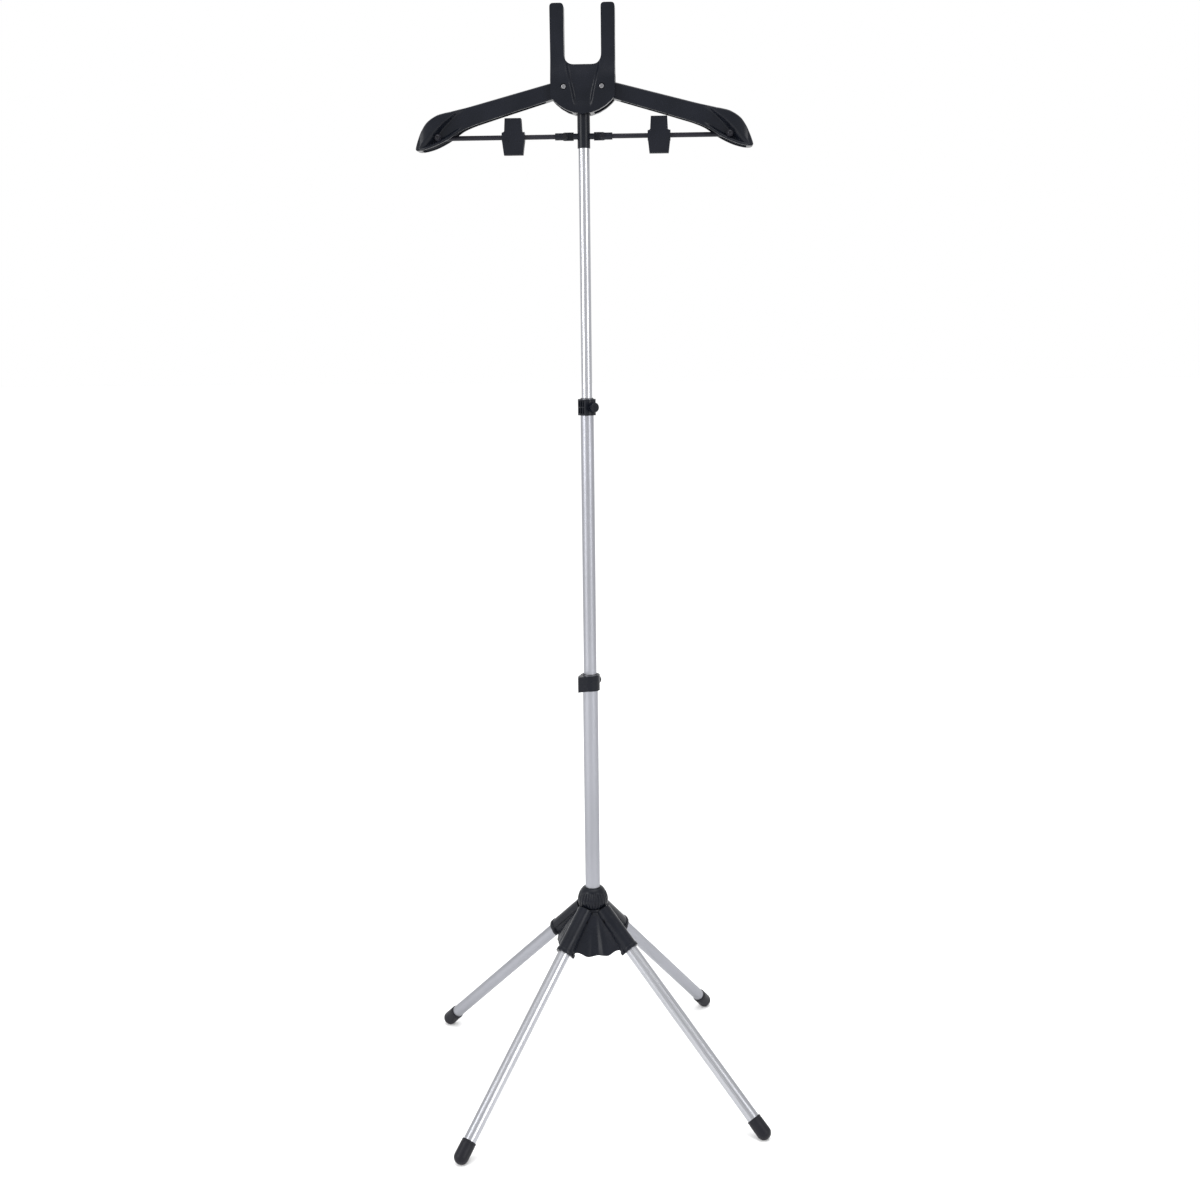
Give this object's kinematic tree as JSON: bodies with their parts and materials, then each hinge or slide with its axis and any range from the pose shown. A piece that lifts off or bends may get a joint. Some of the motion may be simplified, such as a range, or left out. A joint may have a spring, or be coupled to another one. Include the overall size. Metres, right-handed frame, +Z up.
{
  "type": "garment stand",
  "caption": "Free-standing folding garment stand: four-legged base, telescopic pole, forked head and folding hanger with trouser clips.",
  "frame": {"origin": "on the floor, on the pole's axis", "axes": "+Z up the pole, X along the hanger, -Y to the front"},
  "size_m": [0.446, 0.446, 1.3465],
  "materials": {
    "black_plastic": "gloss",
    "inner_plastic": "matte",
    "aluminium": "satin anodised",
    "black_cap": "gloss",
    "pad_rubber": "matte",
    "black_rod": "satin",
    "steel": "bright",
    "brass": "turned"
  },
  "bodies": {
    "hub": {"base_hub": "black_plastic", "hub_collet": "inner_plastic", "leg_pins": "steel"},
    "collar_nut": {"collar_nut": "black_plastic"},
    "leg_back_right": {"leg_tube_back_right": "aluminium", "leg_plug_back_right": "inner_plastic", "foot_cap_back_right": "black_cap"},
    "leg_back_left": {"leg_tube_back_left": "aluminium", "leg_plug_back_left": "inner_plastic", "foot_cap_back_left": "black_cap"},
    "leg_front_left": {"leg_tube_front_left": "aluminium", "leg_plug_front_left": "inner_plastic", "foot_cap_front_left": "black_cap"},
    "leg_front_right": {"leg_tube_front_right": "aluminium", "leg_plug_front_right": "inner_plastic", "foot_cap_front_right": "black_cap"},
    "lower_pole": {"lower_tube": "aluminium", "lower_plug": "inner_plastic", "lower_liner": "inner_plastic", "lower_clamp": "black_plastic", "lower_clamp_nut": "brass"},
    "lower_knob": {"lower_clamp_knob": "black_plastic", "lower_clamp_screw": "steel"},
    "middle_pole": {"middle_tube": "aluminium", "middle_bush": "inner_plastic", "upper_liner": "inner_plastic", "upper_clamp": "black_plastic", "upper_clamp_nut": "brass"},
    "upper_knob": {"upper_clamp_knob": "black_plastic", "upper_clamp_screw": "steel"},
    "upper_pole": {"upper_tube": "aluminium", "upper_bush": "inner_plastic", "head_front": "black_plastic", "head_back": "black_plastic", "arm_screws": "steel"},
    "left_arm": {"left_arm": "black_plastic", "left_tip_pin": "steel"},
    "right_arm": {"right_arm": "black_plastic", "right_tip_pin": "steel"},
    "runner": {"neck_runner": "black_plastic"},
    "left_rod": {"left_rod": "black_rod", "left_rod_end": "black_plastic", "left_rod_screw": "steel"},
    "left_clip_slider": {"left_clip_bush": "inner_plastic"},
    "left_clip_back": {"left_clip_back": "black_plastic", "left_pad_back": "pad_rubber", "left_clip_spring": "steel"},
    "left_clip_front": {"left_clip_front": "black_plastic", "left_pad_front": "pad_rubber"},
    "right_rod": {"right_rod": "black_rod", "right_rod_end": "black_plastic", "right_rod_screw": "steel"},
    "right_clip_slider": {"right_clip_bush": "inner_plastic"},
    "right_clip_back": {"right_clip_back": "black_plastic", "right_pad_back": "pad_rubber", "right_clip_spring": "steel"},
    "right_clip_front": {"right_clip_front": "black_plastic", "right_pad_front": "pad_rubber"}
  },
  "joints": [
    {"name": "leg_fold_back_right", "type": "hinge", "parent": "hub", "child": "leg_back_right", "pos_m": [0.0148, 0.02138, 0.2277], "axis": [-0.8221, 0.5693, 0], "range_deg": [0, 46.9]},
    {"name": "leg_fold_back_left", "type": "hinge", "parent": "hub", "child": "leg_back_left", "pos_m": [-0.02138, 0.0148, 0.2277], "axis": [-0.5693, -0.8221, 0], "range_deg": [0, 46.9]},
    {"name": "leg_fold_front_left", "type": "hinge", "parent": "hub", "child": "leg_front_left", "pos_m": [-0.0148, -0.02138, 0.2277], "axis": [0.8221, -0.5693, 0], "range_deg": [0, 46.9]},
    {"name": "leg_fold_front_right", "type": "hinge", "parent": "hub", "child": "leg_front_right", "pos_m": [0.02138, -0.0148, 0.2277], "axis": [0.5693, 0.8221, 0], "range_deg": [0, 46.9]},
    {"name": "nut_turn", "type": "hinge", "parent": "hub", "child": "collar_nut", "pos_m": [0, 0, 0.254], "axis": [0, 0, 1], "range_deg": [0, 360]},
    {"name": "pole_turn", "type": "hinge", "parent": "hub", "child": "lower_pole", "pos_m": [0, 0, 0.23], "axis": [0, 0, 1], "continuous": true},
    {"name": "lower_knob_turn", "type": "hinge", "parent": "lower_pole", "child": "lower_knob", "pos_m": [0, 0, 0.5376], "axis": [0.4384, 0.8988, 0], "range_deg": [0, 360]},
    {"name": "middle_slide", "type": "slide", "parent": "lower_pole", "child": "middle_pole", "axis": [0, 0, 1], "range_m": [-0.25, 0]},
    {"name": "upper_knob_turn", "type": "hinge", "parent": "middle_pole", "child": "upper_knob", "pos_m": [0, 0, 0.8816], "axis": [0.6428, -0.766, 0], "range_deg": [0, 360]},
    {"name": "upper_slide", "type": "slide", "parent": "middle_pole", "child": "upper_pole", "axis": [0, 0, 1], "range_m": [-0.285, 0]},
    {"name": "left_arm_fold", "type": "hinge", "parent": "upper_pole", "child": "left_arm", "pos_m": [-0.0222, 0, 1.2529], "axis": [0, -1, 0], "range_deg": [0, 39.85]},
    {"name": "right_arm_fold", "type": "hinge", "parent": "upper_pole", "child": "right_arm", "pos_m": [0.0222, 0, 1.2529], "axis": [0, 1, 0], "range_deg": [0, 39.85]},
    {"name": "runner_slide", "type": "slide", "parent": "upper_pole", "child": "runner", "axis": [0, 0, -1], "range_m": [0, 0.20865]},
    {"name": "left_rod_fold", "type": "hinge", "parent": "left_arm", "child": "left_rod", "pos_m": [-0.171, 0, 1.1983], "axis": [0, 1, 0], "range_deg": [0, 97.68]},
    {"name": "right_rod_fold", "type": "hinge", "parent": "right_arm", "child": "right_rod", "pos_m": [0.171, 0, 1.1983], "axis": [0, -1, 0], "range_deg": [0, 97.68]},
    {"name": "left_clip_slide", "type": "slide", "parent": "left_rod", "child": "left_clip_slider", "axis": [1, 0, 0], "range_m": [0, 0.02]},
    {"name": "left_clip_swing", "type": "hinge", "parent": "left_clip_slider", "child": "left_clip_back", "pos_m": [-0.08315, 0, 1.1983], "axis": [1, 0, 0], "range_deg": [0, 90]},
    {"name": "left_clip_open", "type": "hinge", "parent": "left_clip_back", "child": "left_clip_front", "pos_m": [-0.08315, 0, 1.1983], "axis": [-1, 0, 0], "range_deg": [0, 16], "deforming": ["left_clip_spring"]},
    {"name": "right_clip_slide", "type": "slide", "parent": "right_rod", "child": "right_clip_slider", "axis": [-1, 0, 0], "range_m": [0, 0.02]},
    {"name": "right_clip_swing", "type": "hinge", "parent": "right_clip_slider", "child": "right_clip_back", "pos_m": [0.0886, 0, 1.1983], "axis": [1, 0, 0], "range_deg": [0, 90]},
    {"name": "right_clip_open", "type": "hinge", "parent": "right_clip_back", "child": "right_clip_front", "pos_m": [0.0886, 0, 1.1983], "axis": [-1, 0, 0], "range_deg": [0, 16], "deforming": ["right_clip_spring"]}
  ],
  "couplings": [
    {"joint": "right_arm_fold", "follows": "left_arm_fold", "ratio": 1},
    {"joint": "left_rod_fold", "follows": "left_arm_fold", "ratio": 2.4509},
    {"joint": "right_rod_fold", "follows": "left_arm_fold", "ratio": 2.4509},
    {"joint": "runner_slide", "follows": "left_arm_fold", "m_per_rad": 0.29993}
  ]
}
